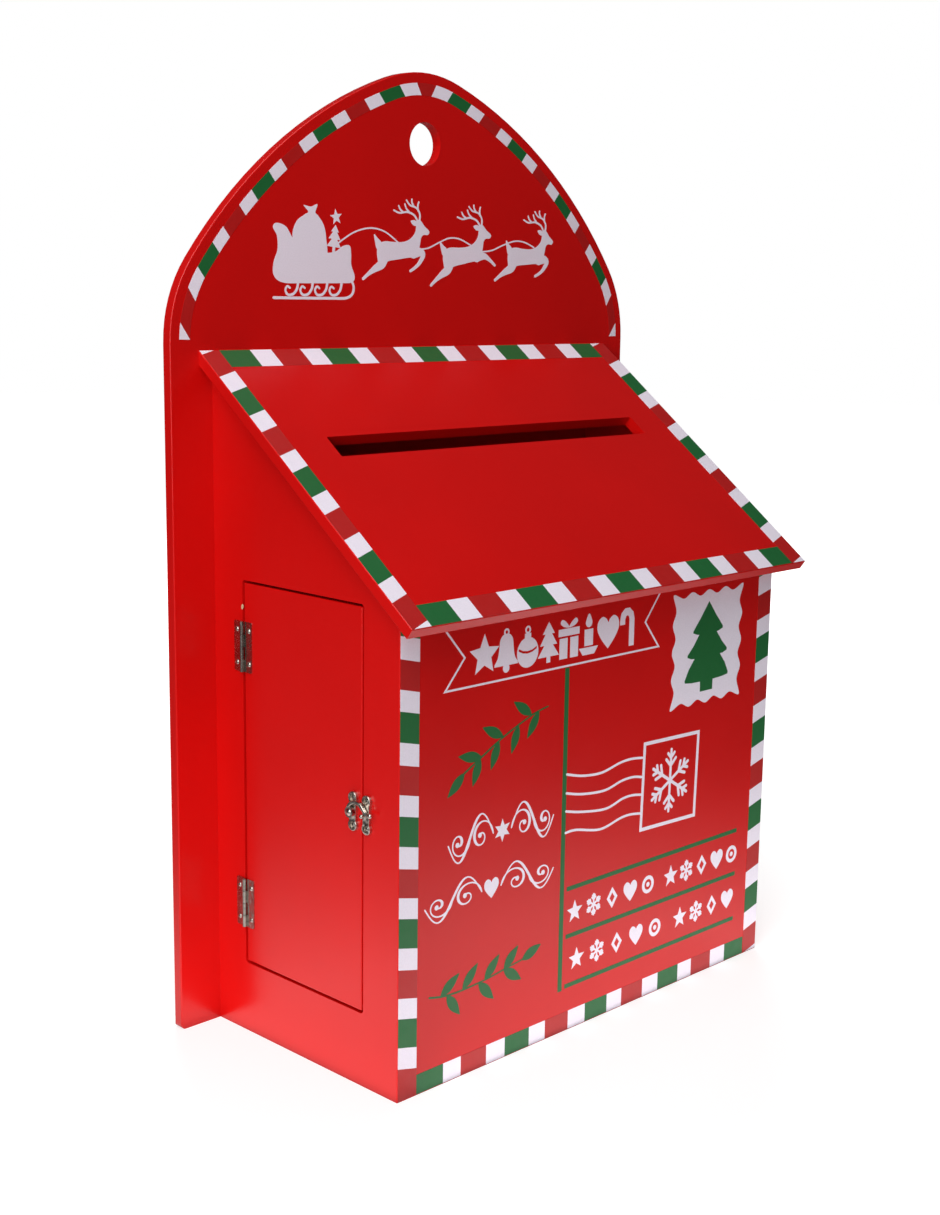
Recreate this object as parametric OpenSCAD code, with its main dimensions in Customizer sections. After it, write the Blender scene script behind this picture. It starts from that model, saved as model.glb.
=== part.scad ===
// Wall-hung letter box of painted board: an arched back board carries a
// sloped-roof box with a posting slot, and a hinged side door lets the post out.
// Frame: X to the right, Y to the back, Z up. The origin is at the bottom, in the
// middle of the footprint. All sizes are in millimetres.

/* [Box] */
// Outside width of the box, over both side boards
box_w = 426; // [380:1:450]
// Outside depth of the box, from the front face to the back board
box_d = 203; // [195:1:230]
// Height of the front face, up to the underside of the roof
front_h = 351; // [345:1:420]
// Slope of the roof, in degrees
roof_slope = 37.2; // [32:0.1:42]
// Thickness of the two side boards
side_t = 9; // [9:0.5:12]
// Thickness of the front board
front_t = 6; // [5:0.5:9]
// Thickness of the floor board
floor_t = 9; // [6:0.5:12]
// Round-over of the sanded board edges
edge_r = 1; // [0.5:0.1:1.5]

/* [Roof] */
// Thickness of the roof board
roof_t = 9; // [6:0.5:12]
// Overhang of the roof past each side board
roof_side = 12; // [8:0.5:16]
// Overhang of the roof's top front edge past the front face
roof_front = 24.4; // [16:0.2:30]
// Length of the posting slot
slot_w = 342; // [250:1:350]
// Width of the posting slot, measured up the slope
slot_h = 21; // [18:0.5:26]
// Distance from the roof's front edge up the slope to the middle of the slot
slot_up = 176; // [150:1:190]

/* [Back board] */
// How far the back board stands out past each side of the box
back_side = 37; // [33:0.5:47]
// Height of the back board at its crown
back_h = 731; // [715:1:750]
// Thickness of the back board
back_t = 9; // [8:0.5:12]
// Height at which the straight sides turn into the shoulders
shoulder_z = 522; // [515:1:535]
// Radius of the shoulders
shoulder_r = 102; // [90:1:115]
// Radius of the long flanks of the arch
flank_r = 400; // [380:1:450]
// Radius of the crown
crown_r = 114; // [100:1:130]
// Radius of the bottom corners
foot_r = 4; // [2:0.5:8]
// Radius of the hanging hole
hole_r = 17; // [12:0.5:20]
// Distance from the crown down to the middle of the hanging hole
hole_drop = 55; // [46:1:66]

/* [Door] */
// Width of the door
door_w = 130; // [115:1:135]
// Distance from the top of the front face down to the door's upper edge
door_drop = 2; // [1:1:14]
// Gap all round the door
door_gap = 2; // [1.5:0.1:2.5]
// Distance from the front face of the box to the door's front edge
door_front = 38; // [36:0.5:48]
// Height of the door's lower edge above the floor
door_bottom = 57; // [40:1:57]
// Corner radius of the door opening
opening_r = 3; // [2:0.5:6]
// Thickness of the stop strip behind the door
stop_t = 6; // [4:0.5:10]
// Distance from each end of the door to the stop strip's end
stop_in = 26; // [10:1:60]
// Width of the stop strip's glued foot
stop_foot = 14; // [10:1:20]
// How far the stop strip reaches behind the door
stop_reach = 8; // [5:0.5:12]
// Gap between the closed door and the stop strip
stop_gap = 0.3; // [0.2:0.1:0.5]

/* [Hinges] */
// Length of each hinge
hinge_len = 38; // [30:1:44]
// Distance between the middles of the two hinges
hinge_spacing = 198; // [180:1:220]
// How far the middle of the two hinges lies below the middle of the door
hinge_drop = 0.8; // [0:0.1:3]
// Reach of each leaf from the pin
leaf_w = 10; // [9:0.5:13]
// Thickness of the leaves
leaf_t = 0.9; // [0.7:0.1:1.1]
// Radius of the leaves' outer corners
leaf_corner = 1.5; // [0.5:0.1:2.5]
// Outer radius of the knuckles
knuckle_r = 1.75; // [1.6:0.05:1.9]
// Radius of the hinge pin
pin_r = 0.85; // [0.7:0.05:0.9]
// Number of knuckles on each hinge
knuckle_n = 4; // [4:2:6]
// Gap between neighbouring knuckles
knuckle_gap = 0.3; // [0.2:0.05:0.5]
// Clearance between the pin and the knuckles that turn on it
pin_fit = 0.05; // [0.03:0.01:0.1]
// Distance between the two screws of a leaf
leaf_screw_spacing = 25; // [18:1:28]
// Distance of the leaf screws from the pin
leaf_screw_out = 6.9; // [5.5:0.1:7.5]
// Distance between the leaf edge and the other leaf's knuckles
leaf_relief = 0.9; // [0.5:0.1:1.2]

/* [Latch] */
// Height of the latch's pivot above the middle of the door
latch_rise = 0.5; // [-10:0.5:10]
// Distance from the door's front edge to the latch's pivot
pivot_in = 7.4; // [6:0.1:10]
// Distance from the opening's front edge to the middle of the catch plate
catch_in = 4.8; // [4.6:0.1:6]
// Height of the pressed plates off the board
plate_h = 2.6; // [2:0.1:3]
// Sheet thickness of the pressed plates
plate_wall = 0.8; // [0.6:0.05:1]
// Radius of the plates' round ears
ear_r = 4.3; // [4:0.1:4.4]
// Distance between the two screws of a plate
plate_screw_spacing = 19.8; // [19:0.1:23]
// Width of the plates between the ears
waist_w = 6.6; // [6:0.1:7.5]
// Gap between the plate and the swinging arm
arm_gap = 0.3; // [0.2:0.05:0.5]
// Half the width of the arm's bar
arm_r = 1.3; // [1.1:0.05:1.4]
// Round-over of the arm's bar
arm_edge = 0.6; // [0.3:0.05:0.8]
// Radius of the arm's hub
hub_r = 3.9; // [3.8:0.05:4.1]
// Radius of the arm's arch over the peg, at the middle of the bar
arch_r = 8.9; // [8.5:0.1:9.3]
// Radius of the arm's outward sweep past the peg
sweep_r = 7; // [6.5:0.1:7.5]
// Radius of the ball on the arm's tip
tip_r = 1.9; // [1.6:0.1:2.2]
// Radius of the rivet that the arm turns on
rivet_r = 1.5; // [1.3:0.05:1.7]
// Clearance between the rivet and the arm's hub
rivet_fit = 0.06; // [0.03:0.01:0.1]
// Radius of the rivet's head
rivet_head_r = 2.7; // [2.4:0.1:3]
// Radius of the catch peg's neck
peg_r = 1.2; // [1:0.05:1.3]
// Radius of the catch peg's head
peg_head_r = 1.7; // [1.5:0.05:1.8]
// Height of the catch peg off the board
peg_h = 7.4; // [7:0.1:8]

/* [Screws] */
// Radius of the hinge screws' shank
hinge_screw_r = 1.1; // [0.9:0.05:1.2]
// Radius of the hinge screws' head
hinge_screw_head_r = 2.1; // [1.8:0.1:2.4]
// Radius of the latch screws' shank
latch_screw_r = 1.2; // [1:0.05:1.3]
// Radius of the latch screws' head
latch_screw_head_r = 2.4; // [2.2:0.1:2.6]
// Depth to which the screws go into the board
screw_depth = 6.5; // [5:0.5:7.5]
// Clearance between a screw's shank and the metal that it holds
screw_fit = 0.2; // [0.1:0.05:0.3]

/* [Hidden] */

paint = "#d01218";
nickel = "#c8c4bc";
round_fn = 64;
far = 1000;
cut = 1;

// The round-over sets the roof's foremost line back by this much
roof_nose = edge_r * (cos(roof_slope) + sin(roof_slope) - 1);
// Front face of the box, placed so that the footprint is centred on the origin
front_y = -(box_d + back_t - roof_front + roof_nose) / 2;

// Roof line: underside of the roof at a distance y behind the front face
function roof_under(y) = front_h + y * tan(roof_slope);
// Drop from the roof's top face to its underside, straight down
roof_drop = roof_t / cos(roof_slope);
// Length of the roof's top face, up the slope
roof_len = (box_d + roof_front) / cos(roof_slope);
// Height of the roof's top front edge
roof_front_z = roof_under(-roof_front) + roof_drop;

// Arch of the back board: centres of its arcs, right half
back_half = box_w / 2 + back_side;
shoulder_c = [back_half - shoulder_r, shoulder_z];
crown_c = [0, back_h - crown_r];
hole_z = back_h - hole_drop;
// The flank's centre lies flank_r - shoulder_r from the shoulder's centre and
// flank_r - crown_r from the crown's, so that the three arcs run on smoothly
shoulder_reach = flank_r - shoulder_r;
crown_reach = flank_r - crown_r;
centre_gap = norm(shoulder_c - crown_c);
along = (shoulder_reach^2 - crown_reach^2 + centre_gap^2) / (2 * centre_gap);
aside = sqrt(shoulder_reach^2 - along^2);
gap_dir = (crown_c - shoulder_c) / centre_gap;
flank_c = shoulder_c + along * gap_dir + aside * [gap_dir[1], -gap_dir[0]] * -1;
// Polar angles at which the flank's arc begins and ends
flank_from = atan2(shoulder_c[1] - flank_c[1], shoulder_c[0] - flank_c[0]);
flank_to = atan2(crown_c[1] - flank_c[1], crown_c[0] - flank_c[0]);
function polar(c, r, a) = c + r * [cos(a), sin(a)];
// Inset of the arch's flat middle from its outline
arch_inset = shoulder_r / 2;
// The shoulders and the crown stand this much inside the flanks' ends
arch_step = 0.05;

// Door opening and hinge line, as distances behind the front face
opening_front = door_front - door_gap;
opening_back = door_front + door_w + door_gap;
pin_back = door_front + door_w + door_gap / 2;
opening_bottom = door_bottom - door_gap;
door_h = front_h - door_drop - door_bottom;
opening_h = door_h + 2 * door_gap;
door_mid_z = door_bottom + door_h / 2;
hinge_mid_z = door_mid_z - hinge_drop;
hinge_z = [hinge_mid_z - hinge_spacing / 2, hinge_mid_z + hinge_spacing / 2];
knuckle_pitch = hinge_len / knuckle_n;

// Latch: pivot and catch, as distances behind the front face
pivot_back = door_front + pivot_in;
catch_back = opening_front - catch_in;
latch_z = door_mid_z + latch_rise;
// The hub is a little thicker than the bar, by this much on each face
hub_step = 0.15;
hub_half = arm_r + hub_step;
arm_out = plate_h + arm_gap + hub_half;
// The arm's arch and sweep, seen from outside with the pivot at the origin
arch_c = [6.5, -0.7];
arch_from = 172;
arch_to = 35;
sweep_c = polar(arch_c, arch_r + sweep_r, arch_to);
sweep_from = 180 + arch_to;
sweep_to = 285;
// The sweep is a little thinner than the arch, and starts inside it
sweep_half = arm_r - 0.1;
sweep_lap = 3;
// The peg stands below the arch, clear of the bar when the door swings
peg_drop = 0.1;
peg_aside = 0.6;
// How far the ball on the tip stands out of the bar's middle
tip_lift = 0.4;
rivet_head_h = 1.1;
// How much narrower the rivet's upset foot is than its head
rivet_foot_in = 0.4;
peg_head_h = 1.4;
// Clearance round the screw heads in the latch plates' dishes
dish_fit = 0.3;
// Round-over of the pressed plates' upper edge
plate_edge = 0.6;
hinge_head_h = 1;
latch_head_h = 1.3;
// Cross recess of the screws; its arms reach this share of the head's radius
recess_share = 0.6;
recess_w = 0.45;
recess_depth = 0.6;

// Local frame on the outside of the left side board: x to the front, y up,
// z out of the board, with the origin a distance back behind the front face
module on_left_side(back = 0, z = 0) {
    translate([-box_w / 2, front_y + back, z])
        rotate([90, 0, -90])
            children();
}

// Upright outline in the YZ plane, with y behind the front face, drawn out along X
module across(x0, width) {
    translate([x0, front_y, 0])
        rotate([90, 0, 90])
            linear_extrude(width)
                children();
}

// Rectangle with round corners, from its lower left corner
module round_rect(w, h, r) {
    translate([r, 0])
        square([w - 2 * r, h]);
    translate([0, r])
        square([w, h - 2 * r]);
    for (x = [r, w - r], y = [r, h - r])
        translate([x, y])
            circle(r, $fn = round_fn);
}

// Half section of a disc with a rounded rim
module disc_section(r, t, e) {
    square([r - e, t]);
    translate([0, e])
        square([r, t - 2 * e]);
    for (y = [e, t - e])
        translate([r - e, y])
            circle(e, $fn = round_fn);
}

// Disc of board with a rounded rim, standing in the XZ plane
module arch_disc(c, r) {
    translate([c[0], 0, c[1]])
        rotate([90, 0, 0])
            rotate_extrude($fn = 256)
                disc_section(r, back_t, edge_r);
}

// Plain outline in the XZ plane, drawn out to the board's thickness
module upright_plate(t) {
    rotate([90, 0, 0])
        linear_extrude(t)
            children();
}

module arch_wedge() {
    translate([0, cut, 0])
        upright_plate(back_t + 2 * cut)
            polygon([flank_c, polar(flank_c, 2 * flank_r, flank_from),
                polar(flank_c, 2 * flank_r, flank_to)]);
}

module arch_flank() {
    intersection() {
        arch_disc(flank_c, flank_r);
        arch_wedge();
    }
}

// Flat middle of the arch, which joins the discs and flanks well inside their rims
module arch_middle() {
    inner_shoulder = polar(shoulder_c, shoulder_r - arch_inset, 0);
    inner_from = polar(flank_c, flank_r - arch_inset, flank_from);
    inner_to = polar(flank_c, flank_r - arch_inset, flank_to);
    half = [inner_shoulder, inner_from, inner_to];
    upright_plate(back_t)
        polygon(concat(half, [for (i = [2:-1:0]) [-half[i][0], half[i][1]]],
            [[-half[0][0], shoulder_z - foot_r], [half[0][0], shoulder_z - foot_r]]));
}

// Straight lower part of the back board
module back_lower() {
    intersection() {
        upright_plate(back_t)
            translate([-back_half, 0])
                round_rect(2 * back_half, shoulder_z + 2 * foot_r, foot_r);
        translate([-back_half, -back_t, 0])
            linear_extrude(shoulder_z)
                round_rect(2 * back_half, back_t, edge_r);
    }
}

module back_panel() {
    color(paint)
        translate([0, front_y + box_d + back_t, 0])
            difference() {
                union() {
                    back_lower();
                    arch_middle();
                    for (side = [0, 1])
                        mirror([side, 0, 0]) {
                            arch_disc(shoulder_c, shoulder_r - arch_step);
                            arch_flank();
                        }
                    arch_disc(crown_c, crown_r - arch_step);
                }
                translate([0, cut, hole_z])
                    rotate([90, 0, 0])
                        cylinder(r = hole_r, h = back_t + 2 * cut, $fn = 128);
            }
}

// Outline of a side board: square at the foot, sloped under the roof
module side_outline() {
    polygon([[front_t, 0], [box_d, 0], [box_d, roof_under(box_d)],
        [front_t, roof_under(front_t)]]);
}

// Pilot hole in the left side or the door, at the local point p
module pilot(p, r) {
    translate([p[0], p[1], -screw_depth])
        cylinder(r = r, h = screw_depth + cut, $fn = 32);
}

// Middles of the two screws of each hinge leaf; side is 1 on the door, -1 on the frame
function leaf_screws(side) = [for (z = hinge_z, s = [-1, 1])
    [side * leaf_screw_out - pin_back, z + s * leaf_screw_spacing / 2]];
// Middles of the two screws of a latch plate that stands back behind the front
function plate_screws(back) = [for (s = [-1, 1])
    [-back, latch_z + s * plate_screw_spacing / 2]];

module left_side_panel() {
    color(paint)
        difference() {
            across(-box_w / 2, side_t)
                difference() {
                    side_outline();
                    translate([opening_front, opening_bottom])
                        round_rect(opening_back - opening_front, opening_h, opening_r);
                }
            on_left_side() {
                for (p = leaf_screws(-1))
                    pilot(p, hinge_screw_r);
                for (p = plate_screws(catch_back))
                    pilot(p, latch_screw_r);
            }
        }
}

module right_side_panel() {
    color(paint)
        across(box_w / 2 - side_t, side_t)
            side_outline();
}

module front_panel() {
    color(paint)
        intersection() {
            across(-box_w / 2, box_w)
                polygon([[0, 0], [front_t, 0], [front_t, roof_under(front_t)],
                    [0, roof_under(0)]]);
            translate([-box_w / 2, front_y, 0])
                linear_extrude(far)
                    intersection() {
                        round_rect(box_w, front_t + 2 * edge_r, edge_r);
                        square([box_w, front_t]);
                    }
        }
}

module bottom_panel() {
    color(paint)
        translate([side_t - box_w / 2, front_y + front_t, 0])
            cube([box_w - 2 * side_t, box_d - front_t, floor_t]);
}

// Local frame of the roof: x across, y up the slope from its top front edge,
// z square to the roof's top face
module on_roof() {
    translate([0, front_y - roof_front, roof_front_z])
        rotate([roof_slope, 0, 0])
            children();
}

module lid_panel() {
    lid_w = box_w + 2 * roof_side;
    color(paint)
        difference() {
            intersection() {
                on_roof()
                    translate([-lid_w / 2, 0, -roof_t])
                        rotate([90, 0, 90])
                            linear_extrude(lid_w)
                                intersection() {
                                    round_rect(roof_len + 2 * roof_t, roof_t, edge_r);
                                    polygon([[0, 0], [roof_len - roof_t * tan(roof_slope), 0],
                                        [roof_len, roof_t], [0, roof_t]]);
                                }
                on_roof()
                    translate([-lid_w / 2, roof_len + roof_t, -roof_t])
                        rotate([90, 0, 0])
                            linear_extrude(roof_len + 2 * roof_t)
                                round_rect(lid_w, roof_t, edge_r);
            }
            on_roof()
                translate([-slot_w / 2, slot_up - slot_h / 2, -roof_t - cut])
                    linear_extrude(roof_t + 2 * cut)
                        round_rect(slot_w, slot_h, edge_r);
        }
}

module door_panel() {
    color(paint)
        on_left_side(door_front)
            translate([-door_w, door_bottom, 0])
                difference() {
                    intersection() {
                        translate([0, 0, -side_t])
                            linear_extrude(side_t)
                                round_rect(door_w, door_h, edge_r);
                        translate([door_w + cut, 0, -side_t])
                            rotate([0, -90, 0])
                                linear_extrude(door_w + 2 * cut)
                                    round_rect(side_t, door_h, edge_r);
                        translate([0, door_h + cut, -side_t])
                            rotate([90, 0, 0])
                                linear_extrude(door_h + 2 * cut)
                                    round_rect(door_w, side_t, edge_r);
                    }
                    translate([door_front + door_w, -door_bottom, 0]) {
                        for (p = leaf_screws(1))
                            pilot(p, hinge_screw_r);
                        for (p = plate_screws(pivot_back))
                            pilot(p, latch_screw_r);
                    }
                }
}

// Strip glued inside the front stile; its stepped lip stops the door
module door_stop() {
    color(paint)
        translate([0, 0, door_bottom + stop_in])
            linear_extrude(door_h - 2 * stop_in)
                translate([side_t - box_w / 2, front_y + opening_front - stop_foot])
                    polygon([[0, 0], [stop_t, 0], [stop_t, stop_foot + stop_reach + door_gap],
                        [stop_gap, stop_foot + stop_reach + door_gap],
                        [stop_gap, stop_foot], [0, stop_foot]]);
}

// What rounds off the leaf's outer corner above (s = 1) or below (s = -1) its middle
module leaf_corner_cut(side, s) {
    block = leaf_corner + cut;
    translate([side * (leaf_w - leaf_corner), s * (hinge_len / 2 - leaf_corner), -cut])
        linear_extrude(leaf_t + 2 * cut)
            difference() {
                translate([side == 1 ? 0 : -block, s == 1 ? 0 : -block])
                    square(block);
                circle(leaf_corner, $fn = round_fn);
            }
}

// One hinge leaf in the local frame of its pin. side is 1 for the door's leaf,
// which holds the odd knuckles from below, and -1 for the frame's leaf.
module hinge_leaf(side, bore_r) {
    first = side == 1 ? 0 : 1;
    difference() {
        union() {
            linear_extrude(leaf_t)
                translate([side == 1 ? knuckle_r + leaf_relief : -leaf_w, -hinge_len / 2])
                    square([leaf_w - knuckle_r - leaf_relief, hinge_len]);
            for (i = [first:2:knuckle_n - 1])
                translate([0, i * knuckle_pitch - hinge_len / 2 + knuckle_gap / 2, 0])
                    rotate([-90, 0, 0])
                        linear_extrude(knuckle_pitch - knuckle_gap)
                            difference() {
                                union() {
                                    translate([0, -knuckle_r])
                                        circle(knuckle_r, $fn = round_fn);
                                    translate([side == 1 ? 0 : -leaf_w, -leaf_t])
                                        square([leaf_w, leaf_t]);
                                }
                                translate([0, -knuckle_r])
                                    circle(bore_r, $fn = round_fn);
                            }
        }
        for (s = [-1, 1]) {
            leaf_corner_cut(side, s);
            translate([side * leaf_screw_out, s * leaf_screw_spacing / 2, -cut])
                cylinder(r = hinge_screw_r + screw_fit, h = leaf_t + 2 * cut, $fn = 32);
        }
    }
}

module frame_leaf(z) {
    color(nickel)
        on_left_side(pin_back, z)
            hinge_leaf(-1, pin_r);
}

module door_leaf(z) {
    color(nickel)
        on_left_side(pin_back, z)
            hinge_leaf(1, pin_r + pin_fit);
}

module hinge_pin(z) {
    color(nickel)
        on_left_side(pin_back, z)
            translate([0, -hinge_len / 2, knuckle_r])
                rotate([-90, 0, 0])
                    cylinder(r = pin_r, h = hinge_len, $fn = round_fn);
}

module upper_hinge_frame_leaf() { frame_leaf(hinge_z[1]); }
module upper_hinge_door_leaf() { door_leaf(hinge_z[1]); }
module upper_hinge_pin() { hinge_pin(hinge_z[1]); }
module lower_hinge_frame_leaf() { frame_leaf(hinge_z[0]); }
module lower_hinge_door_leaf() { door_leaf(hinge_z[0]); }
module lower_hinge_pin() { hinge_pin(hinge_z[0]); }

// Screw with a domed, cross-recessed head that seats at the height seat
module screw(shank_r, head_r, head_h, seat) {
    dome_r = (head_r^2 + head_h^2) / (2 * head_h);
    difference() {
        union() {
            translate([0, 0, -screw_depth])
                cylinder(r = shank_r, h = screw_depth + seat, $fn = 32);
            intersection() {
                translate([0, 0, seat + head_h - dome_r])
                    sphere(dome_r, $fn = 96);
                translate([0, 0, seat])
                    cylinder(r = head_r + cut, h = head_h, $fn = round_fn);
            }
        }
        for (turn = [0, 90])
            rotate([0, 0, turn])
                translate([-recess_share * head_r, -recess_w / 2,
                        seat + head_h - recess_depth])
                    cube([2 * recess_share * head_r, recess_w, recess_depth + cut]);
    }
}

module hinge_screws(side) {
    color(nickel)
        on_left_side()
            for (p = leaf_screws(side))
                translate([p[0], p[1], 0])
                    screw(hinge_screw_r, hinge_screw_head_r, hinge_head_h, leaf_t);
}

module latch_screws(back) {
    color(nickel)
        on_left_side()
            for (p = plate_screws(back))
                translate([p[0], p[1], 0])
                    screw(latch_screw_r, latch_screw_head_r, latch_head_h, plate_wall);
}

module hinge_frame_screws() { hinge_screws(-1); }
module hinge_door_screws() { hinge_screws(1); }
module latch_door_screws() { latch_screws(pivot_back); }
module latch_frame_screws() { latch_screws(catch_back); }

// Outline of a latch plate, drawn in by inset all round
module plate_outline(inset) {
    for (s = [-1, 1])
        translate([0, s * plate_screw_spacing / 2])
            circle(ear_r - inset, $fn = round_fn);
    translate([inset - waist_w / 2, -plate_screw_spacing / 2])
        square([waist_w - 2 * inset, plate_screw_spacing]);
}

// Right half of a plate's section: w wide and plate_h high, its upper edge rounded
module plate_section(w) {
    square([w - plate_edge, plate_h]);
    square([w, plate_h - plate_edge]);
    translate([w - plate_edge, plate_h - plate_edge])
        circle(plate_edge, $fn = round_fn);
}

// The two screws' places on a plate
module at_plate_screws() {
    for (s = [-1, 1])
        translate([0, s * plate_screw_spacing / 2, 0])
            children();
}

module plate_body() {
    at_plate_screws()
        rotate_extrude($fn = round_fn)
            plate_section(ear_r);
    translate([0, plate_screw_spacing / 2, 0])
        rotate([90, 0, 0])
            linear_extrude(plate_screw_spacing)
                for (side = [0, 1])
                    mirror([side, 0])
                        plate_section(waist_w / 2);
}

// Pressed plate: a shallow shell with a dished ear for each screw and a hole of
// hole_at_r through its face at the point p
module latch_plate(p, hole_at_r) {
    dish_r = latch_screw_head_r + dish_fit;
    difference() {
        union() {
            difference() {
                plate_body();
                translate([0, 0, -cut])
                    linear_extrude(plate_h - plate_wall + cut)
                        plate_outline(plate_wall);
            }
            at_plate_screws()
                cylinder(r = dish_r + plate_wall, h = plate_h, $fn = round_fn);
        }
        at_plate_screws() {
            translate([0, 0, plate_wall])
                cylinder(r = dish_r, h = plate_h, $fn = round_fn);
            translate([0, 0, -cut])
                cylinder(r = latch_screw_r + screw_fit, h = plate_h, $fn = 32);
        }
        translate([p[0], p[1], -cut])
            cylinder(r = hole_at_r, h = plate_h + 2 * cut, $fn = round_fn);
    }
}

module latch_pivot_plate() {
    color(nickel)
        on_left_side(pivot_back, latch_z)
            latch_plate([0, 0], rivet_r);
}

module latch_catch_plate() {
    color(nickel)
        on_left_side(catch_back, latch_z)
            latch_plate([-peg_aside, -peg_drop], peg_r);
}

// Stretch of bar, 2 * half thick, bent to the radius r about c, between two polar angles
module bent_bar(half, c, r, from, to) {
    translate([c[0], c[1], arm_out])
        rotate([0, 0, from])
            rotate_extrude(angle = to - from, $fn = 128)
                translate([r - half, -half])
                    round_rect(2 * half, 2 * half, arm_edge);
}

module latch_arm() {
    tip = polar(sweep_c, sweep_r, sweep_to);
    color(nickel)
        on_left_side(pivot_back, latch_z)
            difference() {
                union() {
                    translate([0, 0, arm_out - hub_half])
                        cylinder(r = hub_r, h = 2 * hub_half, $fn = round_fn);
                    bent_bar(arm_r, arch_c, arch_r, arch_to, arch_from);
                    bent_bar(sweep_half, sweep_c, sweep_r, sweep_from - sweep_lap, sweep_to);
                    translate([tip[0], tip[1], arm_out + tip_lift])
                        sphere(tip_r, $fn = 48);
                }
                translate([0, 0, arm_out - hub_half - cut])
                    cylinder(r = rivet_r + rivet_fit, h = 2 * hub_half + 2 * cut,
                        $fn = round_fn);
            }
}

// Domed head of radius r and height h, standing on z = 0
module dome(r, h) {
    ball_r = (r^2 + h^2) / (2 * h);
    intersection() {
        translate([0, 0, h - ball_r])
            sphere(ball_r, $fn = 96);
        cylinder(r = r + cut, h = h, $fn = round_fn);
    }
}

module latch_rivet() {
    head_z = arm_out + hub_half + arm_gap / 2;
    skin_z = plate_h - plate_wall;
    color(nickel)
        on_left_side(pivot_back, latch_z) {
            translate([0, 0, skin_z])
                cylinder(r = rivet_r, h = head_z - skin_z, $fn = round_fn);
            translate([0, 0, head_z])
                dome(rivet_head_r, rivet_head_h);
            translate([0, 0, skin_z - plate_wall])
                cylinder(r = rivet_head_r - rivet_foot_in, h = plate_wall, $fn = round_fn);
        }
}

module latch_catch_peg() {
    skin_z = plate_h - plate_wall;
    color(nickel)
        on_left_side(catch_back, latch_z)
            translate([-peg_aside, -peg_drop, 0]) {
                translate([0, 0, skin_z])
                    cylinder(r = peg_r, h = peg_h - peg_head_h - skin_z, $fn = round_fn);
                translate([0, 0, peg_h - peg_head_h])
                    dome(peg_head_r, peg_head_h);
                translate([0, 0, skin_z - plate_wall])
                    cylinder(r = peg_head_r, h = plate_wall, $fn = round_fn);
            }
}

back_panel();
left_side_panel();
right_side_panel();
front_panel();
bottom_panel();
lid_panel();
door_panel();
door_stop();
upper_hinge_frame_leaf();
upper_hinge_door_leaf();
upper_hinge_pin();
lower_hinge_frame_leaf();
lower_hinge_door_leaf();
lower_hinge_pin();
hinge_frame_screws();
hinge_door_screws();
latch_pivot_plate();
latch_arm();
latch_rivet();
latch_catch_plate();
latch_catch_peg();
latch_door_screws();
latch_frame_screws();
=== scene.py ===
"""Looks of the wall letter box: lacquered board, nickel fittings and screen prints.

The CAD nodes keep their shapes and get procedural materials. Each print is a thin film
of ink that lies on the board it was printed on, drawn in millimetres on that board's
own plane. Everything is placed from the frame's boxes.
"""

import math

import bpy
from mathutils import Matrix, Vector
from mathutils.geometry import tessellate_polygon


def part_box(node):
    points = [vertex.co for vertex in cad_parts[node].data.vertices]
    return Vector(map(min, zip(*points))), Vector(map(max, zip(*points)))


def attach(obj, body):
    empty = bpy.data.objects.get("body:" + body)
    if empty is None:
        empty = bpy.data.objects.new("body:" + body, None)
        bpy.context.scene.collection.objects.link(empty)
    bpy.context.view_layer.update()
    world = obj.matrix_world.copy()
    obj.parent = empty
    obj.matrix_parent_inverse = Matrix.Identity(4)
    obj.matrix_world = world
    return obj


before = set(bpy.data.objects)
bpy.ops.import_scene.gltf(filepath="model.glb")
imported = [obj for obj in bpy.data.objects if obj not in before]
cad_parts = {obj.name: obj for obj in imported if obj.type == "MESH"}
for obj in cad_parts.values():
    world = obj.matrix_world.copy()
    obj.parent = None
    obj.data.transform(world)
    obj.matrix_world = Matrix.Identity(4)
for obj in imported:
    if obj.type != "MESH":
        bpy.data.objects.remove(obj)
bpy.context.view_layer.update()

MM = 0.001

# Sizes of the boards that the prints follow, in millimetres
BOX_W = 426.0
FRONT_H = 351.0
ROOF_W = 450.0
ROOF_SLOPE = math.radians(37.2)
ROOF_LEN = 285.5
ARCH_HALF = 250.0
ARCH_H = 731.0
SHOULDER_Z = 522.0
SHOULDER_R = 102.0
FLANK_R = 400.0
CROWN_R = 114.0


# ---------------------------------------------------------------- drawing planes

def plane(origin, across, up):
    """Matrix from a drawing's (x, y, height) in millimetres to the row frame in metres."""
    out = across.cross(up)
    turn = Matrix((across, up, out)).transposed().to_4x4()
    return Matrix.Translation(origin) @ turn @ Matrix.Scale(MM, 4)


front_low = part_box("front_panel")[0]
back_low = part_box("back_panel")[0]
side_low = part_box("left_side_panel")[0]
roof_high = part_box("lid_panel")[1]

X_AXIS = Vector((1, 0, 0))
Z_AXIS = Vector((0, 0, 1))
UP_SLOPE = Vector((0, math.cos(ROOF_SLOPE), math.sin(ROOF_SLOPE)))
roof_top = Vector((0, roof_high.y, roof_high.z))

# x from the box's left side and y from its foot
FRONT = plane(Vector((front_low.x, front_low.y, 0)), X_AXIS, Z_AXIS)
# x from the middle and y from the back board's foot
ARCH = plane(Vector((0, back_low.y, 0)), X_AXIS, Z_AXIS)
# x forward from the front board's face and y from the foot, on the left side board
SIDE = plane(Vector((side_low.x, front_low.y, 0)), Vector((0, -1, 0)), Z_AXIS)
# x from the middle and y up the slope from the roof's front edge
ROOF = plane(roof_top - UP_SLOPE * ROOF_LEN * MM, X_AXIS, UP_SLOPE)


# ---------------------------------------------------------------- materials

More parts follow.
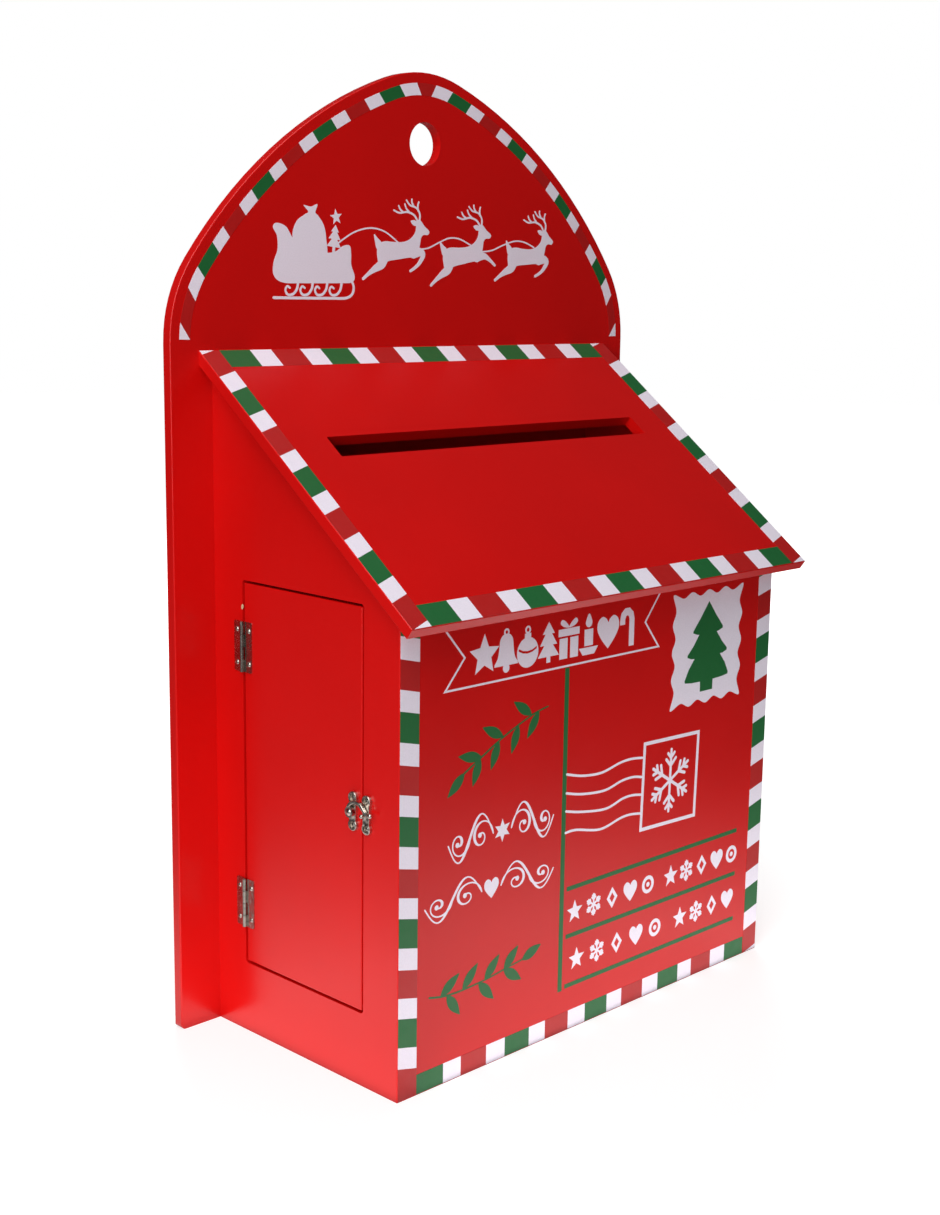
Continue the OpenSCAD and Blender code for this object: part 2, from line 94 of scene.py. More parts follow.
def srgb(red, green, blue):
    """Linear colour of an sRGB colour given in steps of 0 to 255."""
    def linear(step):
        share = step / 255
        return share / 12.92 if share <= 0.04045 else ((share + 0.055) / 1.055) ** 2.4
    return (linear(red), linear(green), linear(blue), 1.0)


class Shader:
    """A principled material that is built node by node."""

    def __init__(self, name):
        self.material = bpy.data.materials.new(name)
        self.material.use_nodes = True
        self.nodes = self.material.node_tree.nodes
        self.links = self.material.node_tree.links
        self.main = self.nodes["Principled BSDF"]
        self.place = self.nodes.new("ShaderNodeTexCoord").outputs["Object"]

    def set(self, **values):
        for name, value in values.items():
            self.main.inputs[name.replace("_", " ")].default_value = value

    def noise(self, scale, detail=4.0, stretch=(1, 1, 1)):
        """Noise with `scale` features to the metre, drawn out along the axes."""
        mapping = self.nodes.new("ShaderNodeMapping")
        mapping.inputs["Scale"].default_value = stretch
        self.links.new(self.place, mapping.inputs["Vector"])
        node = self.nodes.new("ShaderNodeTexNoise")
        node.inputs["Scale"].default_value = scale
        node.inputs["Detail"].default_value = detail
        self.links.new(mapping.outputs["Vector"], node.inputs["Vector"])
        return node.outputs["Fac"]

    def ramp(self, factor, low, high, start=0.35, end=0.65):
        """Colour that runs from low to high as the factor goes from start to end."""
        node = self.nodes.new("ShaderNodeValToRGB")
        first, last = node.color_ramp.elements
        first.position, first.color = start, low
        last.position, last.color = end, high
        self.links.new(factor, node.inputs["Fac"])
        return node.outputs["Color"]

    def math(self, operation, first, second):
        """Result of a sum on two outputs, or on an output and a float."""
        node = self.nodes.new("ShaderNodeMath")
        node.operation = operation
        self.links.new(first, node.inputs[0])
        if isinstance(second, float):
            node.inputs[1].default_value = second
        else:
            self.links.new(second, node.inputs[1])
        return node.outputs[0]

    def span(self, factor, low, high, start=0.3, end=0.7):
        """Number that runs from low to high as the factor goes from start to end."""
        node = self.nodes.new("ShaderNodeMapRange")
        node.inputs["From Min"].default_value = start
        node.inputs["From Max"].default_value = end
        node.inputs["To Min"].default_value = low
        node.inputs["To Max"].default_value = high
        self.links.new(factor, node.inputs["Value"])
        return node.outputs["Result"]

    def bump(self, height, depth, under=None):
        """Bump of the given depth in metres, over another bump if there is one."""
        node = self.nodes.new("ShaderNodeBump")
        node.inputs["Distance"].default_value = depth
        self.links.new(height, node.inputs["Height"])
        if under is not None:
            self.links.new(under, node.inputs["Normal"])
        return node.outputs["Normal"]

    def link(self, output, name):
        self.links.new(output, self.main.inputs[name])


def shade(colour, share):
    """The colour with its light scaled by share."""
    return tuple(part * share for part in colour[:3]) + (1.0,)


def lacquer(name, colour):
    """Satin lacquer sprayed on fibre board, with a faint orange peel."""
    made = Shader(name)
    cloud = made.noise(scale=7.0, detail=3.0)
    made.link(made.ramp(cloud, low=shade(colour, 0.96), high=shade(colour, 1.03)),
              "Base Color")
    made.link(made.span(made.noise(scale=60.0), low=0.24, high=0.27), "Roughness")
    made.set(Specular_IOR_Level=0.45)
    peel = made.bump(made.noise(scale=260.0, detail=1.0), depth=0.000012)
    waves = made.bump(made.noise(scale=9.0, detail=1.0), depth=0.0004, under=peel)
    made.link(waves, "Normal")
    return made.material


def ink(name, colour, mottle=0.95):
    """Screen-printed ink, a little more matt than the lacquer. mottle is how light its
    darkest specks are, as a share of the colour."""
    made = Shader(name)
    speckle = made.noise(scale=900.0, detail=6.0)
    made.link(made.ramp(speckle, low=shade(colour, mottle), high=colour), "Base Color")
    made.link(made.span(made.noise(scale=140.0), low=0.42, high=0.52), "Roughness")
    made.set(Specular_IOR_Level=0.6)
    grain = made.noise(scale=1400.0, detail=2.0)
    made.link(made.bump(grain, depth=0.00002), "Normal")
    return made.material


def nickel(name, tone, rough, dent=0.0):
    """Bright nickel plate over pressed steel, with fine rolling marks. dent is how
    deep the pressing left its face uneven, in metres."""
    made = Shader(name)
    made.set(Metallic=1.0)
    tarnish = made.noise(scale=260.0, detail=5.0)
    made.link(made.ramp(tarnish, low=shade(tone, 0.72), high=tone), "Base Color")
    wear = made.noise(scale=1500.0)
    made.link(made.span(wear, low=rough - 0.05, high=rough + 0.08), "Roughness")
    uneven = made.bump(made.noise(scale=210.0, detail=1.0), depth=dent)
    marks = made.noise(scale=5200.0, detail=2.0, stretch=(1, 1, 0.12))
    made.link(made.bump(marks, depth=0.000002, under=uneven), "Normal")
    return made.material


PAINT_RED = srgb(206, 11, 9)
red_lacquer = lacquer("red_lacquer", PAINT_RED)
# The inside parts take the same red lacquer, darkened to nine tenths as painted shade for
# the inside of the box
inner_lacquer_painted_shade = lacquer("inner_red_lacquer_painted_shade", shade(PAINT_RED, 0.9))
white_ink = ink("white_ink", srgb(246, 237, 250))
green_ink = ink("green_ink", srgb(24, 100, 48))
crimson_ink = ink("crimson_ink", srgb(182, 18, 16))
NICKEL_TONE = srgb(214, 206, 196)
# The hinges are the same nickel as the latch, darkened to seven tenths as painted shade
hinge_nickel_painted_shade = nickel("nickel_hinges_painted_shade", shade(NICKEL_TONE, 0.7), rough=0.22, dent=0.0003)
plate_nickel = nickel("nickel_plate", NICKEL_TONE, rough=0.26, dent=0.0014)
arm_nickel = nickel("nickel_cast", NICKEL_TONE, rough=0.22, dent=0.0006)
screw_nickel = nickel("nickel_screws", shade(NICKEL_TONE, 0.9), rough=0.22)
pin_steel = nickel("pin_steel", shade(NICKEL_TONE, 0.5), rough=0.28)

FINISHES = {
    red_lacquer: ["back_panel", "left_side_panel", "right_side_panel", "front_panel",
                  "lid_panel", "door_panel"],
    inner_lacquer_painted_shade: ["bottom_panel", "door_stop"],
    hinge_nickel_painted_shade: ["upper_hinge_frame_leaf", "upper_hinge_door_leaf",
                   "lower_hinge_frame_leaf", "lower_hinge_door_leaf"],
    plate_nickel: ["latch_pivot_plate", "latch_catch_plate"],
    arm_nickel: ["latch_arm", "latch_rivet", "latch_catch_peg"],
    screw_nickel: ["hinge_frame_screws", "hinge_door_screws", "latch_door_screws",
                   "latch_frame_screws"],
    pin_steel: ["upper_hinge_pin", "lower_hinge_pin"],
}
for finish, names in FINISHES.items():
    for name in names:
        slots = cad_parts[name].data.materials
        slots.clear()
        slots.append(finish)

filler = ink("bare_filler", srgb(214, 186, 150), mottle=0.8)
# Each ink's material and its slot in the record; the filler has none
INKS = {
    "filler": (filler, None),
    "white": (white_ink, "white_print"),
    "green": (green_ink, "green_print"),
    "crimson": (crimson_ink, "crimson_print"),
}


# ---------------------------------------------------------------- drawing tools

FILM = 0.12        # thickness of a film of ink
SINK = 0.04        # how far a film's underside lies in the lacquer
LAYER = 0.006      # step between shapes of one film, so that no two faces coincide
LAYERS = 12        # steps until the shapes start again at the film's lowest top
RISE = 0.02        # how much a stroke rises from its start to its end
CURVE_STEPS = 8    # points between two knots of a smooth line
CAP_TURNS = (30, 58, 82)  # where the sections of a stroke's round end lie, in degrees


def add_shape(points, faces, rims, height):
    """Closed slab of ink inside an outline, without the holes that may follow it."""
    start = len(points)
    flat = [Vector((x, y, 0)) for rim in rims for x, y in rim]
    count = len(flat)
    points += [(p.x, p.y, height) for p in flat] + [(p.x, p.y, -SINK) for p in flat]
    for a, b, c in tessellate_polygon([[Vector((x, y, 0)) for x, y in rim]
                                       for rim in rims]):
        if (flat[b] - flat[a]).cross(flat[c] - flat[a]).z < 0:
            a, c = c, a
        faces.append((start + a, start + b, start + c))
        faces.append((start + count + c, start + count + b, start + count + a))
    first = start
    for rim in rims:
        size = len(rim)
        turns = sum(rim[i][0] * rim[i - 1][1] - rim[i - 1][0] * rim[i][1]
                    for i in range(size)) < 0
        outward = turns == (rim is rims[0])
        for i in range(size):
            here, after = first + i, first + (i + 1) % size
            side = (here, here + count, after + count, after)
            faces.append(side if outward else side[::-1])
        first += size


def sections(line, width):
    """Middle, heading and half width of a pen stroke's sections, with round ends."""
    last = len(line) - 1
    found = []
    for i, (x, y) in enumerate(line):
        ahead, behind = line[min(i + 1, last)], line[max(i - 1, 0)]
        heading = Vector((ahead[0] - behind[0], ahead[1] - behind[1])).normalized()
        full = width(i / last) if callable(width) else width
        found.append((Vector((x, y)), heading, full / 2))
    for end, sign in ((0, -1), (-1, 1)):
        middle, heading, half = found[end]
        caps = [(middle + sign * heading * half * math.sin(math.radians(turn)), heading,
                 half * math.cos(math.radians(turn))) for turn in CAP_TURNS]
        found = caps[::-1] + found if sign < 0 else found + caps
    return found


def add_stroke(points, faces, line, width, height):
    """Closed ribbon of ink. It rises by a hair, so that it may cross itself."""
    start = len(points)
    cuts = sections(line, width)
    for i, (middle, heading, half) in enumerate(cuts):
        aside = Vector((-heading.y, heading.x)) * half
        top = height + RISE * i / len(cuts)
        for place, z in ((middle + aside, top), (middle - aside, top),
                         (middle - aside, -SINK), (middle + aside, -SINK)):
            points.append((place.x, place.y, z))
    for i in range(len(cuts) - 1):
        at = start + 4 * i
        for k in range(4):
            after = (k + 1) % 4
            faces.append((at + k, at + after, at + 4 + after, at + 4 + k))
    end = start + 4 * (len(cuts) - 1)
    faces.append((start + 3, start + 2, start + 1, start))
    faces.append((end, end + 1, end + 2, end + 3))


def film(name, board, colour, shapes=(), strokes=(), top=FILM):
    """One piece of print on a board, with its upper side at the height top.

    Each shape is a list of outlines, the outer one and then its holes. Each stroke is
    a line and its width, which may be a function of the share along the line.
    """
    points, faces = [], []
    for number, rims in enumerate(shapes):
        add_shape(points, faces, rims, top + LAYER * (number % LAYERS))
    for number, (line, width) in enumerate(strokes):
        layer = number % LAYERS + 0.5
        add_stroke(points, faces, line, width, top + LAYER * layer)
    mesh = bpy.data.meshes.new(name)
    mesh.from_pydata([board @ Vector(p) for p in points], [], faces)
    mesh.validate()
    mesh.materials.append(INKS[colour][0])
    piece = bpy.data.objects.new(name, mesh)
    bpy.context.scene.collection.objects.link(piece)
    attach(piece, "case")


def smooth(knots, closed=True):
    """Smooth line through the knots (Catmull-Rom)."""
    count = len(knots)
    line = []
    for i in range(count if closed else count - 1):
        if closed:
            near = [knots[(i + k) % count] for k in (-1, 0, 1, 2)]
        else:
            near = [knots[min(max(i + k, 0), count - 1)] for k in (-1, 0, 1, 2)]
        for step in range(CURVE_STEPS):
            t = step / CURVE_STEPS
            weights = (
                (-t + 2 * t * t - t ** 3) / 2,
                (2 - 5 * t * t + 3 * t ** 3) / 2,
                (t + 4 * t * t - 3 * t ** 3) / 2,
                (-t * t + t ** 3) / 2,
            )
            line.append(tuple(sum(w * p[axis] for w, p in zip(weights, near))
                              for axis in (0, 1)))
    if not closed:
        line.append(knots[-1])
    return line


def taper(start, end, power=1):
    """Width that runs from start to end, and the quicker at first the higher the power."""
    return lambda share: end + (start - end) * (1 - share) ** power


def rectangle(x0, y0, x1, y1):
    return [(x0, y0), (x1, y0), (x1, y1), (x0, y1)]


def circle(x, y, radius, count=32):
    return [(x + radius * math.cos(2 * math.pi * i / count),
             y + radius * math.sin(2 * math.pi * i / count)) for i in range(count)]


def moved(outline, dx=0.0, dy=0.0, size=1.0, turn=0.0):
    """The outline scaled, turned by `turn` degrees and then moved."""
    c, s = math.cos(math.radians(turn)) * size, math.sin(math.radians(turn)) * size
    return [(c * x - s * y + dx, s * x + c * y + dy) for x, y in outline]


def mirrored(outline):
    """The outline and its mirror image about the y axis, joined to one outline."""
    return outline + [(-x, y) for x, y in reversed(outline)]


def clipped(outline, axis, limit, keep_above):
    """The part of a convex outline on one side of a line across the given axis."""
    kept = []
    sign = 1 if keep_above else -1
    for i, here in enumerate(outline):
        after = outline[(i + 1) % len(outline)]
        d0, d1 = sign * (here[axis] - limit), sign * (after[axis] - limit)
        if d0 >= 0:
            kept.append(here)
        if (d0 > 0 > d1) or (d0 < 0 < d1):
            share = d0 / (d0 - d1)
            kept.append(tuple(a + (b - a) * share for a, b in zip(here, after)))
    return kept


# ---------------------------------------------------------------- striped borders

def striped(box, axis, cells, start, lean=0.0):
    """Cells of a striped border inside box = (x0, y0, x1, y1), by colour.

    The stripes follow each other along the axis (0 for x, 1 for y). cells is one
    period of (colour, length), start is where a period begins at the border's low
    side, and lean is how much further along a stripe's edge meets its high side.
    """
    x0, y0, x1, y1 = box
    low, high = (x0, x1) if axis == 0 else (y0, y1)
    side = (y0, y1) if axis == 0 else (x0, x1)
    made = {colour: [] for colour, _ in cells}
    at, number = start, 0
    while at < high + abs(lean):
        colour, length = cells[number % len(cells)]
        ends = [(at, side[0]), (at + length, side[0]),
                (at + length + lean, side[1]), (at + lean, side[1])]
        outline = ends if axis == 0 else [(across, along) for along, across in ends]
        outline = clipped(clipped(outline, axis, low, True), axis, high, False)
        if len(outline) > 2:
            made[colour].append([outline])
        at, number = at + length, number + 1
    return made


def print_border(name, board, strips):
    """The striped strips of one board, as one film for each colour."""
    for colour in INKS:
        shapes = [shape for strip in strips for shape in strip.get(colour, [])]
        if shapes:
            film(f"{name}_{colour}", board, colour, shapes)


# One period of stripes from the foot up, or from left to right
UPRIGHT_CELLS = [("crimson", 20.9), ("white", 15.9), ("green", 21.5), ("white", 15.1)]
FOOT_CELLS = [("green", 26.4), ("white", 17.9), ("crimson", 26.4), ("white", 19.8)]
SLOPE_CELLS = [("crimson", 25.1), ("white", 17.4), ("green", 25.3), ("white", 17.4)]
EAVE_CELLS = [("green", 28.2), ("white", 20.1), ("crimson", 28.2), ("white", 20.0)]

EDGE = 0.6           # bare rim between a border and the board's rounded edge
FRONT_STRIP = 18.4   # width of the front's upright strips
FOOT_STRIP = 15.5    # height of the strip along the front's foot
FRONT_LEAN = 4.4     # rise of a stripe over an upright strip
FOOT_START = 18.4    # where the foot strip's first period begins
FOOT_GAP = 0.9       # how far the foot strip ends before the right upright strip
UPRIGHT_START = 4.3  # height at which the first whole stripe meets the outer side
ROOF_STRIP = 18.0    # width of the strips along the roof's slopes
ROOF_LAP = 0.8       # the right-hand one is this much wider
ROOF_LEAN = 5.9      # rise of a stripe over such a strip
EAVE_STRIP = 20.0    # height of the strip along the roof's front edge
RIDGE_STRIP = 19.4   # height of the strip along the back board
EAVE_FIRST = 14.1    # half of the middle green cell
EAVE_PERIODS = 3     # whole periods to the left of it


def front_border():
    period = sum(length for _, length in UPRIGHT_CELLS)
    right = (BOX_W - FRONT_STRIP, EDGE, BOX_W - EDGE, FRONT_H)
    start = UPRIGHT_START - FRONT_LEAN - period
    rising = striped(right, 1, UPRIGHT_CELLS, start, FRONT_LEAN)
    left = (EDGE, EDGE, FRONT_STRIP, FRONT_H)
    falling = striped(left, 1, UPRIGHT_CELLS, UPRIGHT_START - period, -FRONT_LEAN)
    # The lowest crimson stripe takes in the white corner left below it
    falling["crimson"].append(falling["white"].pop(0))
    foot = (FRONT_STRIP, EDGE, BOX_W - FRONT_STRIP - FOOT_GAP, FOOT_STRIP)
    print_border("front_border", FRONT,
                 [falling, rising, striped(foot, 0, FOOT_CELLS, FOOT_START)])


def roof_border():
    period = sum(length for _, length in SLOPE_CELLS)
    half = ROOF_W / 2
    inner = half - ROOF_STRIP
    right = inner - ROOF_LAP
    strips = []
    for x0, x1 in ((EDGE - half, -inner), (right, half - EDGE)):
        strips.append(striped((x0, EDGE, x1, ROOF_LEN - EDGE), 1, SLOPE_CELLS,
                              -period, ROOF_LEAN))
    start = -EAVE_FIRST - EAVE_PERIODS * sum(length for _, length in EAVE_CELLS)
    for y0, y1 in ((EDGE, EAVE_STRIP), (ROOF_LEN - RIDGE_STRIP, ROOF_LEN - EDGE)):
        strips.append(striped((-inner, y0, right, y1), 0, EAVE_CELLS, start))
    print_border("roof_border", ROOF, strips)


# ---------------------------------------------------------------- arch border

# Centres of the arch's right-hand arcs, from the same rule as the board's outline
shoulder_centre = Vector((ARCH_HALF - SHOULDER_R, SHOULDER_Z))
crown_centre = Vector((0, ARCH_H - CROWN_R))


def flank_centre():
    """Point that lies FLANK_R inside the outline and touches both other arcs."""
    from_shoulder, from_crown = FLANK_R - SHOULDER_R, FLANK_R - CROWN_R
    link = crown_centre - shoulder_centre
    gap = link.length
    along = (from_shoulder ** 2 - from_crown ** 2 + gap ** 2) / (2 * gap)
    aside = math.sqrt(from_shoulder ** 2 - along ** 2)
    unit = link / gap
    return shoulder_centre + along * unit + aside * Vector((-unit.y, unit.x))


def polar_angle(point, centre):
    return math.atan2(point.y - centre.y, point.x - centre.x)


BAND_MIDDLE = 13.5   # inset at which the distances along the arch are measured
flank = flank_centre()
ARCH_ARCS = (
    (shoulder_centre, SHOULDER_R, 0.0, polar_angle(shoulder_centre, flank)),
    (flank, FLANK_R, polar_angle(shoulder_centre, flank),
     polar_angle(crown_centre, flank)),
    (crown_centre, CROWN_R, polar_angle(crown_centre, flank), math.pi / 2),
)
ARCH_RUN = sum((radius - BAND_MIDDLE) * (end - start)
               for _, radius, start, end in ARCH_ARCS)


def arch_point(run, inset):
    """Point at a signed distance from the crown, inset from the board's outline."""
    left = ARCH_RUN - abs(run)
    for centre, radius, start, end in ARCH_ARCS:
        length = (radius - BAND_MIDDLE) * (end - start)
        if left <= length or radius == CROWN_R:
            angle = start + left / (radius - BAND_MIDDLE)
            x = centre.x + (radius - inset) * math.cos(angle)
            z = centre.y + (radius - inset) * math.sin(angle)
            return (math.copysign(x, run), z)
        left -= length


ARCH_OUTER = 8.2      # inset of the arch border's outer side
ARCH_INNER = 17.6     # inset of its inner side
ARCH_SHIFT = 0.9      # the border's middle lies this much to the right
# Cells from the crown outwards, and how far along each ends
ARCH_CELLS = [("crimson", 10.1), ("white", 28.1), ("green", 50.5), ("white", 66.9),
              ("crimson", 88.6), ("white", 104.0), ("green", 125.1), ("white", 141.0),
              ("crimson", 161.8), ("white", 176.5), ("green", 197.8), ("white", 213.7),
              ("crimson", 235.0), ("white", 249.8), ("green", 271.6), ("white", 287.9),
              ("crimson", 312.4)]
ARCH_END = 323.6      # where the border is cut off, at the roof's shoulder
LEAN_ZERO = 172.0     # the stripes stand square to the border here
LEAN_RATE = 0.027     # growth of the lean along the border
LEAN_CURL = 270.0     # beyond this the stripes lean quickly,
CURL_RATE = 0.19      # by this much more
CELL_STEP = 2.5       # rough distance between the points along a cell's sides
TIP_WIDTH = 0.2       # width of the last white tip at the border's inner side


def arch_lean(run):
    """How much further along a stripe's edge meets the border's inner side."""
    return LEAN_RATE * (run - LEAN_ZERO) + CURL_RATE * max(0.0, run - LEAN_CURL)


def arch_cell(outer, inner, side):
    """Outline of a cell that spans (from, to) on the border's outer and inner side.
    side is -1 for the arch's left half and 1 for its right half."""
    steps = max(2, round((outer[1] - outer[0]) / CELL_STEP))
    top, foot = [], []
    for i in range(steps + 1):
        share = i / steps
        reach = outer[0] + (outer[1] - outer[0]) * share
        top.append(arch_point(side * reach + ARCH_SHIFT, ARCH_OUTER))
        reach = inner[0] + (inner[1] - inner[0]) * share
        foot.append(arch_point(side * reach + ARCH_SHIFT, ARCH_INNER))
    return top + foot[::-1]


def arch_border():
    made = {colour: [] for colour in INKS}
    start = 0.0
    for colour, end in ARCH_CELLS:
        inner_start = start + arch_lean(start) if start else 0.0
        inner_end = min(end + arch_lean(end), ARCH_END)
        for side in (-1, 1):
            cell = arch_cell((start, end), (inner_start, inner_end), side)
            made[colour].append([cell])
        start = end
    for side in (-1, 1):
        tip = arch_cell((start, ARCH_END), (ARCH_END - TIP_WIDTH, ARCH_END), side)
        made["white"].append([tip])
    print_border("arch_border", ARCH, [made])


front_border()
roof_border()
arch_border()


# ---------------------------------------------------------------- motifs on the front

def star(points=5, outer=10.0, inner=4.4):
    """Star with its first point up."""
    corners = []
    for i in range(2 * points):
        radius = outer if i % 2 == 0 else inner
        angle = math.pi / 2 + math.pi * i / points
        corners.append((radius * math.cos(angle), radius * math.sin(angle)))
    return corners


LEAF_STEPS = 12
LEAF_BULGE = 0.85    # below 1 the leaf is widest near its base


def leaf(base, tip, width):
    """Pointed leaf that bulges a little more near its base."""
    dx, dy = tip[0] - base[0], tip[1] - base[1]
    length = math.hypot(dx, dy)
    outline = []
    for side in (1, -1):
        row = []
        for i in range(LEAF_STEPS + 1):
            share = i / LEAF_STEPS
            swell = side * width / 2 * math.sin(math.pi * share ** LEAF_BULGE)
            row.append((base[0] + dx * share - dy / length * swell,
                        base[1] + dy * share + dx / length * swell))
        outline += row[:-1] if side == 1 else row[:0:-1]
    return outline


def sprig(name, stem, leaves, width):
    """Leafy sprig: a thin stem and its leaves, each given by its base and its tip."""
    film(name, FRONT, "green", [[leaf(base, tip, width)] for base, tip in leaves],
         [(smooth(stem, closed=False), taper(1.5, 1.0))])


sprig("sprig_upper", [(62, 227.5), (79, 236.2), (103, 247.8), (131.5, 258.5),
                      (149, 262.3)], [
    ((131.5, 258.8), (112, 271.5)), ((101.8, 247.6), (80, 258)),
    ((80, 236.3), (56, 241)), ((139.3, 260.4), (126.8, 241.5)),
    ((117.6, 253.4), (110.4, 233.3)), ((97.3, 245.4), (89.3, 225)),
    ((78.4, 236), (71, 216.5)), ((62.8, 228), (46, 213)),
], 8.0)
sprig("sprig_lower", [(30.4, 69.6), (45.6, 66.6), (64.3, 66.0), (87.8, 67.3),
                      (106.5, 69.6), (127, 72)], [
    ((41.3, 67.1), (60.4, 80.1)), ((63.5, 66.2), (79.2, 82.6)),
    ((86.2, 67.1), (101.8, 83.2)), ((106.6, 69.6), (121.8, 84.6)),
    ((47.6, 66.4), (61.2, 48.1)), ((79.9, 66.8), (96.3, 49.7)),
    ((106.2, 69.5), (125.7, 56.7)), ((126, 71.6), (146.8, 78.9)),
], 8.4)

DIVIDER = rectangle(166.9, 33.9, 171.5, 288.2)
film("divider_rule", FRONT, "green", [[DIVIDER]])

RULE_LEFT, RULE_RIGHT = 174.8, 391.0
RULE_HEIGHTS = (114.8, 76.6, 36.4)
RULE_HALF = 1.7      # half of a rule's thickness
film("address_rules", FRONT, "green", [
    [rectangle(RULE_LEFT, y - RULE_HALF, RULE_RIGHT, y + RULE_HALF)]
    for y in RULE_HEIGHTS
])

# Ribbon banner: an outline with notched ends
BANNER = [(40.9, 288.9), (278.0, 288.9), (260.0, 311.1), (278.0, 333.3), (40.9, 333.3),
          (60.4, 311.1)]
BANNER_LINE = 1.5    # thickness of its line


def inset_outline(outline, depth):
    """The outline moved inwards by depth. It runs anticlockwise."""
    count = len(outline)
    inner = []
    for i, corner in enumerate(outline):
        before = Vector(corner) - Vector(outline[i - 1])
        after = Vector(outline[(i + 1) % count]) - Vector(corner)
        n0 = Vector((-before.y, before.x)).normalized()
        n1 = Vector((-after.y, after.x)).normalized()
        middle = (n0 + n1) / (1 + n0.dot(n1))
        inner.append(tuple(Vector(corner) + middle * depth))
    return inner


film("banner_outline", FRONT, "white", [[BANNER, inset_outline(BANNER, BANNER_LINE)]])


# Ornaments about 30 mm high, drawn round their own middle
def ornament_star():
    return [[star(5, 15.5, 7.2)]]


def ornament_bell():
    side = [(0, 12.5), (3.4, 12), (6.4, 8.5), (7.4, 2), (8.8, -4.5), (12, -8.8)]
    body = mirrored(smooth(side, closed=False) + [(12, -10.4)])
    return [[body], [circle(0, -12.4, 3.3)],
            [circle(0, 13.8, 2.8, 20), circle(0, 13.8, 1.3, 20)]]


def ornament_bauble():
    band = [(-9.6, -2.2), (-5, -4.2), (0, -4.9), (5, -4.2), (9.6, -2.2),
            (9.6, -0.4), (5, -2.4), (0, -3.1), (-5, -2.4), (-9.6, -0.4)]
    return [[circle(0, -4, 11.2, 48), band], [rectangle(-3.2, 6.2, 3.2, 10)],
            [circle(0, 12.6, 3, 20), circle(0, 12.6, 1.5, 20)]]


def ornament_gift():
    lid = rectangle(-11.5, 2.5, 11.5, 8)
    halves = [rectangle(-10.3, -14.5, -1.6, 1), rectangle(1.6, -14.5, 10.3, 1)]
    bow = [(0, 8.6), (3, 12.6), (7.4, 15), (9.4, 12.4), (6, 9.6)]
    other = [(-x, y) for x, y in reversed(bow)]
    return [[lid], [halves[0]], [halves[1]], [smooth(bow)], [smooth(other)]]


def ornament_candle():
    flame = smooth([(0, 16.2), (3.4, 10.6), (2.8, 7.2), (0, 5.8), (-2.8, 7.2),
                    (-3.4, 10.6)])
    dish = mirrored([(0, -15), (6.5, -15), (10.8, -9.4), (0, -9.4)])
    return [[flame], [rectangle(-4.8, -8.2, 4.8, 4.4)], [dish]]


def ornament_cane():
    outer = [(8.4, -15), (8.4, 6), (7, 11.4), (2.6, 15), (-2.8, 15), (-7.2, 11.4),
             (-8.4, 6), (-8.4, 2.4)]
    inner = [(-2.6, 2.4), (-2.6, 6), (-1.6, 8.6), (0, 9.4), (1.8, 8.6), (2.6, 6),
             (2.6, -15)]
    return [[outer + inner]]


def ornament_heart():
    side = [(0, -13.4), (7, -6.4), (12.2, 1.4), (11.4, 8.4), (6.4, 11.6), (1.8, 9.4)]
    return [[mirrored(smooth(side, closed=False) + [(0, 6.6)])]]


def ornament_tree():
    side = [(0, 15.5), (6.4, 6.6), (3.4, 6.6), (9.2, -1.8), (4.6, -1.8), (11.4, -10.4),
            (2, -10.4), (2, -14.8)]
    return [[mirrored(side)]]


BANNER_MOTIFS = [ornament_star, ornament_bell, ornament_bauble, ornament_tree,
                 ornament_gift, ornament_candle, ornament_heart, ornament_cane]
MOTIF_FIRST = 81.0     # middle of the first ornament
MOTIF_STEP = 22.3
MOTIF_MIDDLE = 310.0   # height of their middles


def placed(shapes, dx, dy, size=1.0, turn=0.0):
    """Every outline of the shapes, moved in the same way."""
    return [[moved(outline, dx, dy, size, turn) for outline in shape] for shape in shapes]


film("banner_motifs", FRONT, "white", [
    shape for i, motif in enumerate(BANNER_MOTIFS)
    for shape in placed(motif(), MOTIF_FIRST + i * MOTIF_STEP, MOTIF_MIDDLE)
])


# Stamp with a wavy edge and a tree
STAMP_LOW = (296.2, 236.6)
STAMP_HIGH = (383.2, 325.6)
STAMP_CORNER = 3.4   # how far the corners stand out, along the diagonal
STAMP_CREST = 2.3    # how far a wave's crest lies outside the straight side
STAMP_TROUGH = -1.7  # and its trough
STAMP_STEPS = 8      # half waves on each side, the corners included


def stamp_outline():
    """Rectangle with three waves on each side and rounded corners that stand out."""
    x0, y0, x1, y1 = STAMP_LOW + STAMP_HIGH
    corners = [Vector(p) for p in ((x0, y0), (x1, y0), (x1, y1), (x0, y1))]
    middle = (corners[0] + corners[2]) / 2
    knots = []
    for i, corner in enumerate(corners):
        run = corners[(i + 1) % 4] - corner
        out = Vector((run.y, -run.x)).normalized()
        knots.append(tuple(corner + (corner - middle).normalized() * STAMP_CORNER))
        for step in range(1, STAMP_STEPS):
            swing = STAMP_TROUGH if step % 2 else STAMP_CREST
            knots.append(tuple(corner + run * step / STAMP_STEPS + out * swing))
    return smooth(knots)


def stamp_tree():
    """Three tiers with drooping hems on a short trunk."""
    tiers = [(0, 36.6), (9.5, 25), (19.4, 14.2), (19.6, 12.4), (14, 10.6), (11.6, 10.4),
             (19, 1.4), (26, -5), (26, -6.8), (20.6, -8.6), (16.8, -8.8), (24, -17),
             (28.8, -25.6), (28.4, -27.4), (20, -28.4), (8.4, -28.8), (8.2, -37.2)]
    return [mirrored(tiers)]


STAMP_MIDDLE = (340.1, 281.6)
OVERPRINT = 0.06     # how far the tree's ink stands out from the ink under it
film("stamp_ground", FRONT, "white", [[stamp_outline()]])
film("stamp_tree", FRONT, "green", placed([stamp_tree()], *STAMP_MIDDLE),
     top=FILM + OVERPRINT)


